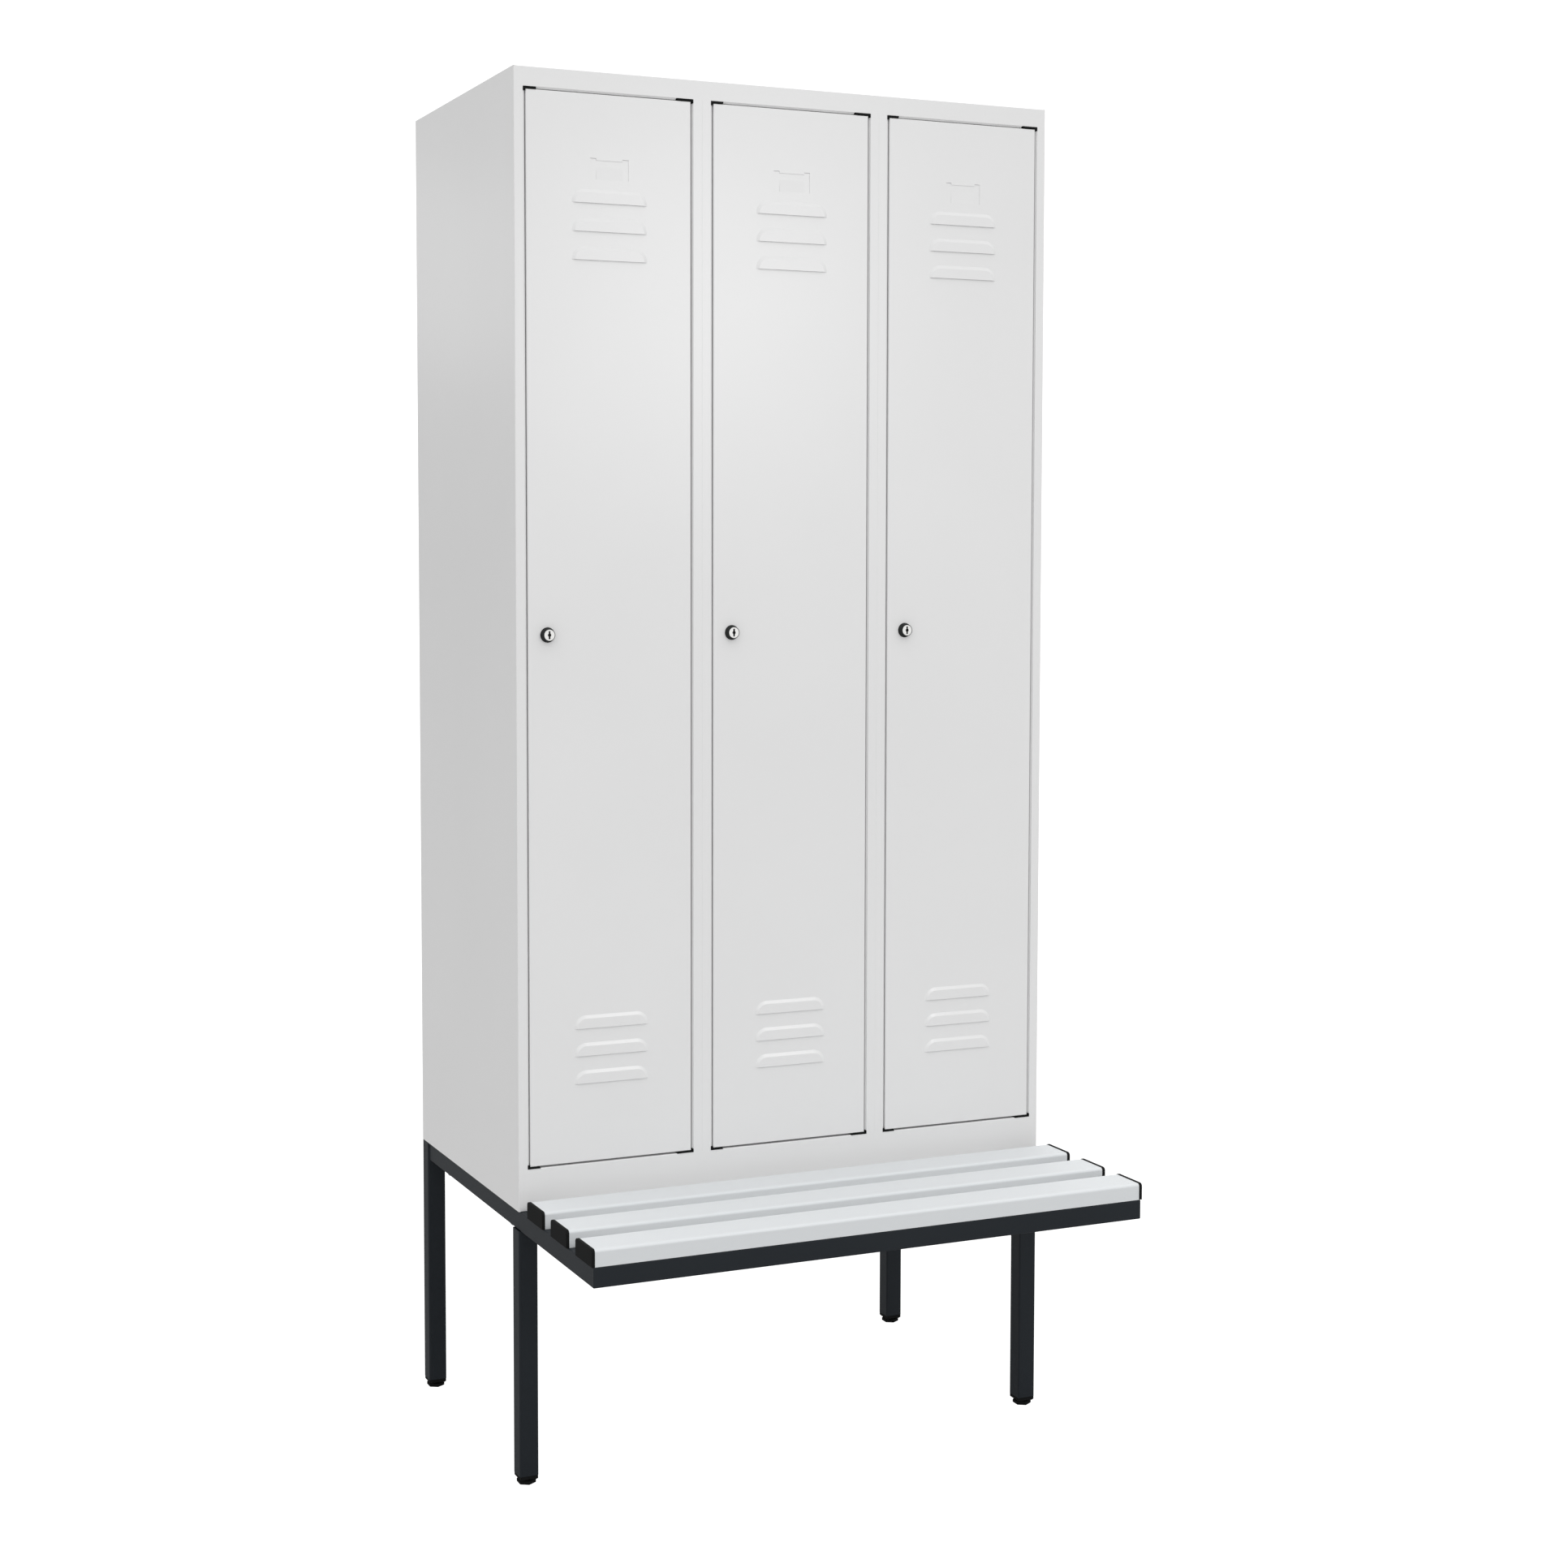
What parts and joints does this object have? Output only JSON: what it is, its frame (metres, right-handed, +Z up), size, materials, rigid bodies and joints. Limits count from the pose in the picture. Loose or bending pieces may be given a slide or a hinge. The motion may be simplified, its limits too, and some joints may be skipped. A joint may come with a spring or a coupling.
{
  "type": "changing-room locker with bench",
  "caption": "Steel changing-room locker with tall hinged doors, pressed louvres and cylinder locks, on a dark tube frame that carries a slatted bench in front",
  "frame": {"origin": "on the floor, in the middle of the width and of the whole depth, bench included", "axes": "+Z up, +X to the right seen from the front, +Y from the bench to the rear"},
  "size_m": [0.9, 0.81, 2.122],
  "materials": {
    "light_grey_powder_coat": "satin powder coat",
    "anthracite_powder_coat": "satin powder coat",
    "grey_slat_plastic": "extruded, satin",
    "black_plastic": "moulded",
    "nickel_plate": "nickel plated, polished",
    "zinc_plate": "zinc plated"
  },
  "bodies": {
    "carcass": {"left_side_panel": "light_grey_powder_coat", "right_side_panel": "light_grey_powder_coat", "rear_panel": "light_grey_powder_coat", "top_panel": "light_grey_powder_coat", "floor_panel": "light_grey_powder_coat", "partition_1": "light_grey_powder_coat", "partition_2": "light_grey_powder_coat", "partition_half_stiles": "light_grey_powder_coat", "coat_rail_brackets": "black_plastic", "hinge_bearings": "black_plastic", "door_buffers": "black_plastic", "side_rail_left": "anthracite_powder_coat", "side_rail_right": "anthracite_powder_coat", "front_rail": "anthracite_powder_coat", "cross_rails": "anthracite_powder_coat", "slat_end_caps": "black_plastic", "slat_screws": "zinc_plate", "cabinet_bolts": "zinc_plate", "leg_plugs": "black_plastic", "hat_shelf_left": "light_grey_powder_coat", "hat_shelf_middle": "light_grey_powder_coat", "hat_shelf_right": "light_grey_powder_coat", "coat_rail_left": "zinc_plate", "coat_rail_middle": "zinc_plate", "coat_rail_right": "zinc_plate", "leg_front_left": "anthracite_powder_coat", "leg_front_right": "anthracite_powder_coat", "leg_rear_left": "anthracite_powder_coat", "leg_rear_right": "anthracite_powder_coat", "bench_slat_front": "grey_slat_plastic", "bench_slat_middle": "grey_slat_plastic", "bench_slat_rear": "grey_slat_plastic"},
    "door_left": {"door_panel_left": "light_grey_powder_coat", "hinge_pins_left": "zinc_plate", "lock_housing_left": "black_plastic"},
    "lock_left": {"lock_cylinder_left": "nickel_plate", "lock_cam_left": "zinc_plate"},
    "hook_left_left": {"coat_hook_left_left": "black_plastic"},
    "hook_left_middle": {"coat_hook_left_middle": "black_plastic"},
    "hook_left_right": {"coat_hook_left_right": "black_plastic"},
    "door_middle": {"door_panel_middle": "light_grey_powder_coat", "hinge_pins_middle": "zinc_plate", "lock_housing_middle": "black_plastic"},
    "lock_middle": {"lock_cylinder_middle": "nickel_plate", "lock_cam_middle": "zinc_plate"},
    "hook_middle_left": {"coat_hook_middle_left": "black_plastic"},
    "hook_middle_middle": {"coat_hook_middle_middle": "black_plastic"},
    "hook_middle_right": {"coat_hook_middle_right": "black_plastic"},
    "door_right": {"door_panel_right": "light_grey_powder_coat", "hinge_pins_right": "zinc_plate", "lock_housing_right": "black_plastic"},
    "lock_right": {"lock_cylinder_right": "nickel_plate", "lock_cam_right": "zinc_plate"},
    "hook_right_left": {"coat_hook_right_left": "black_plastic"},
    "hook_right_middle": {"coat_hook_right_middle": "black_plastic"},
    "hook_right_right": {"coat_hook_right_right": "black_plastic"},
    "foot_front_left": {"levelling_foot_front_left": "black_plastic"},
    "foot_front_right": {"levelling_foot_front_right": "black_plastic"},
    "foot_rear_left": {"levelling_foot_rear_left": "black_plastic"},
    "foot_rear_right": {"levelling_foot_rear_right": "black_plastic"}
  },
  "joints": [
    {"name": "door_hinge_left", "type": "hinge", "parent": "carcass", "child": "door_left", "pos_m": [-0.1788, -0.088, 1.289], "axis": [0, 0, 1], "range_deg": [0, 110]},
    {"name": "door_lock_left", "type": "hinge", "parent": "door_left", "child": "lock_left", "pos_m": [-0.4006, -0.095, 1.289], "axis": [0, 1, 0], "range_deg": [0, 90]},
    {"name": "hook_slide_left_left", "type": "slide", "parent": "carcass", "child": "hook_left_left", "axis": [1, 0, 0], "range_m": [-0.06, 0.03]},
    {"name": "hook_slide_left_middle", "type": "slide", "parent": "carcass", "child": "hook_left_middle", "axis": [1, 0, 0], "range_m": [-0.03, 0.03]},
    {"name": "hook_slide_left_right", "type": "slide", "parent": "carcass", "child": "hook_left_right", "axis": [1, 0, 0], "range_m": [-0.03, 0.06]},
    {"name": "door_hinge_middle", "type": "hinge", "parent": "carcass", "child": "door_middle", "pos_m": [0.1212, -0.088, 1.289], "axis": [0, 0, 1], "range_deg": [0, 110]},
    {"name": "door_lock_middle", "type": "hinge", "parent": "door_middle", "child": "lock_middle", "pos_m": [-0.1006, -0.095, 1.289], "axis": [0, 1, 0], "range_deg": [0, 90]},
    {"name": "hook_slide_middle_left", "type": "slide", "parent": "carcass", "child": "hook_middle_left", "axis": [1, 0, 0], "range_m": [-0.06, 0.03]},
    {"name": "hook_slide_middle_middle", "type": "slide", "parent": "carcass", "child": "hook_middle_middle", "axis": [1, 0, 0], "range_m": [-0.03, 0.03]},
    {"name": "hook_slide_middle_right", "type": "slide", "parent": "carcass", "child": "hook_middle_right", "axis": [1, 0, 0], "range_m": [-0.03, 0.06]},
    {"name": "door_hinge_right", "type": "hinge", "parent": "carcass", "child": "door_right", "pos_m": [0.4212, -0.088, 1.289], "axis": [0, 0, 1], "range_deg": [0, 110]},
    {"name": "door_lock_right", "type": "hinge", "parent": "door_right", "child": "lock_right", "pos_m": [0.1994, -0.095, 1.289], "axis": [0, 1, 0], "range_deg": [0, 90]},
    {"name": "hook_slide_right_left", "type": "slide", "parent": "carcass", "child": "hook_right_left", "axis": [1, 0, 0], "range_m": [-0.06, 0.03]},
    {"name": "hook_slide_right_middle", "type": "slide", "parent": "carcass", "child": "hook_right_middle", "axis": [1, 0, 0], "range_m": [-0.03, 0.03]},
    {"name": "hook_slide_right_right", "type": "slide", "parent": "carcass", "child": "hook_right_right", "axis": [1, 0, 0], "range_m": [-0.03, 0.06]},
    {"name": "foot_height_front_left", "type": "slide", "parent": "carcass", "child": "foot_front_left", "axis": [0, 0, -1], "range_m": [0, 0.02]},
    {"name": "foot_height_front_right", "type": "slide", "parent": "carcass", "child": "foot_front_right", "axis": [0, 0, -1], "range_m": [0, 0.02]},
    {"name": "foot_height_rear_left", "type": "slide", "parent": "carcass", "child": "foot_rear_left", "axis": [0, 0, -1], "range_m": [0, 0.02]},
    {"name": "foot_height_rear_right", "type": "slide", "parent": "carcass", "child": "foot_rear_right", "axis": [0, 0, -1], "range_m": [0, 0.02]}
  ]
}
